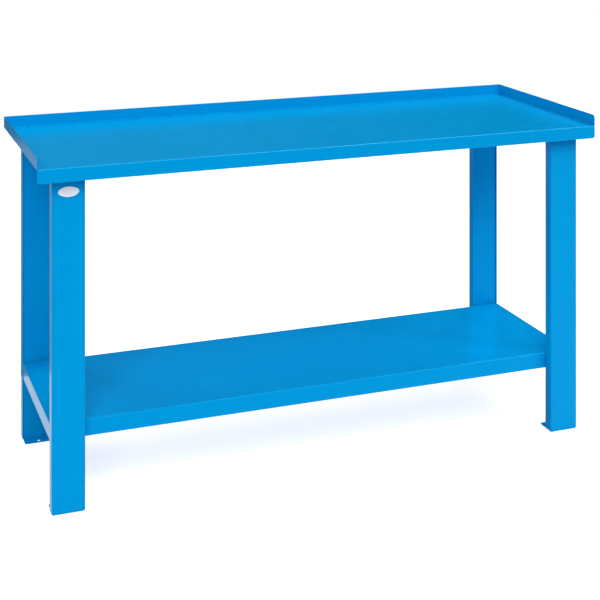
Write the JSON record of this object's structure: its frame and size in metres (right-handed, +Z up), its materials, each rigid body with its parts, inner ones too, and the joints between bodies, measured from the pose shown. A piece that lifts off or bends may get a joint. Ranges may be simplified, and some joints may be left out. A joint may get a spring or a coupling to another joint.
{
  "type": "assembly table",
  "caption": "Sheet-steel workbench with a lipped worktop, front apron, channel legs with bent foot plates and a tray shelf below.",
  "frame": {"origin": "on the floor under the middle of the worktop", "axes": "+X along the bench from left to right as seen from its front, +Y from the front apron to the back lip, +Z up"},
  "size_m": [1.5, 0.53, 0.85],
  "materials": {
    "worktop_powder_coat": "semi-gloss blue powder coat",
    "frame_powder_coat": "semi-gloss blue powder coat",
    "leg_powder_coat": "semi-gloss blue powder coat",
    "shelf_powder_coat": "semi-gloss blue powder coat",
    "badge_white": "smooth white, bare",
    "zinc_plate": "bright zinc plate"
  },
  "bodies": {
    "root": {"worktop": "worktop_powder_coat", "left_end_channel": "frame_powder_coat", "right_end_channel": "frame_powder_coat", "front_top_rib": "frame_powder_coat", "rear_top_rib": "frame_powder_coat", "front_left_leg": "leg_powder_coat", "front_right_leg": "leg_powder_coat", "rear_left_leg": "leg_powder_coat", "rear_right_leg": "leg_powder_coat", "shelf": "shelf_powder_coat", "front_shelf_rib": "frame_powder_coat", "rear_shelf_rib": "frame_powder_coat", "oval_badge": "badge_white", "head_bolts": "zinc_plate", "head_weld_nuts": "zinc_plate", "shelf_studs": "zinc_plate", "shelf_washers": "zinc_plate", "shelf_nuts": "zinc_plate"}
  },
  "joints": []
}
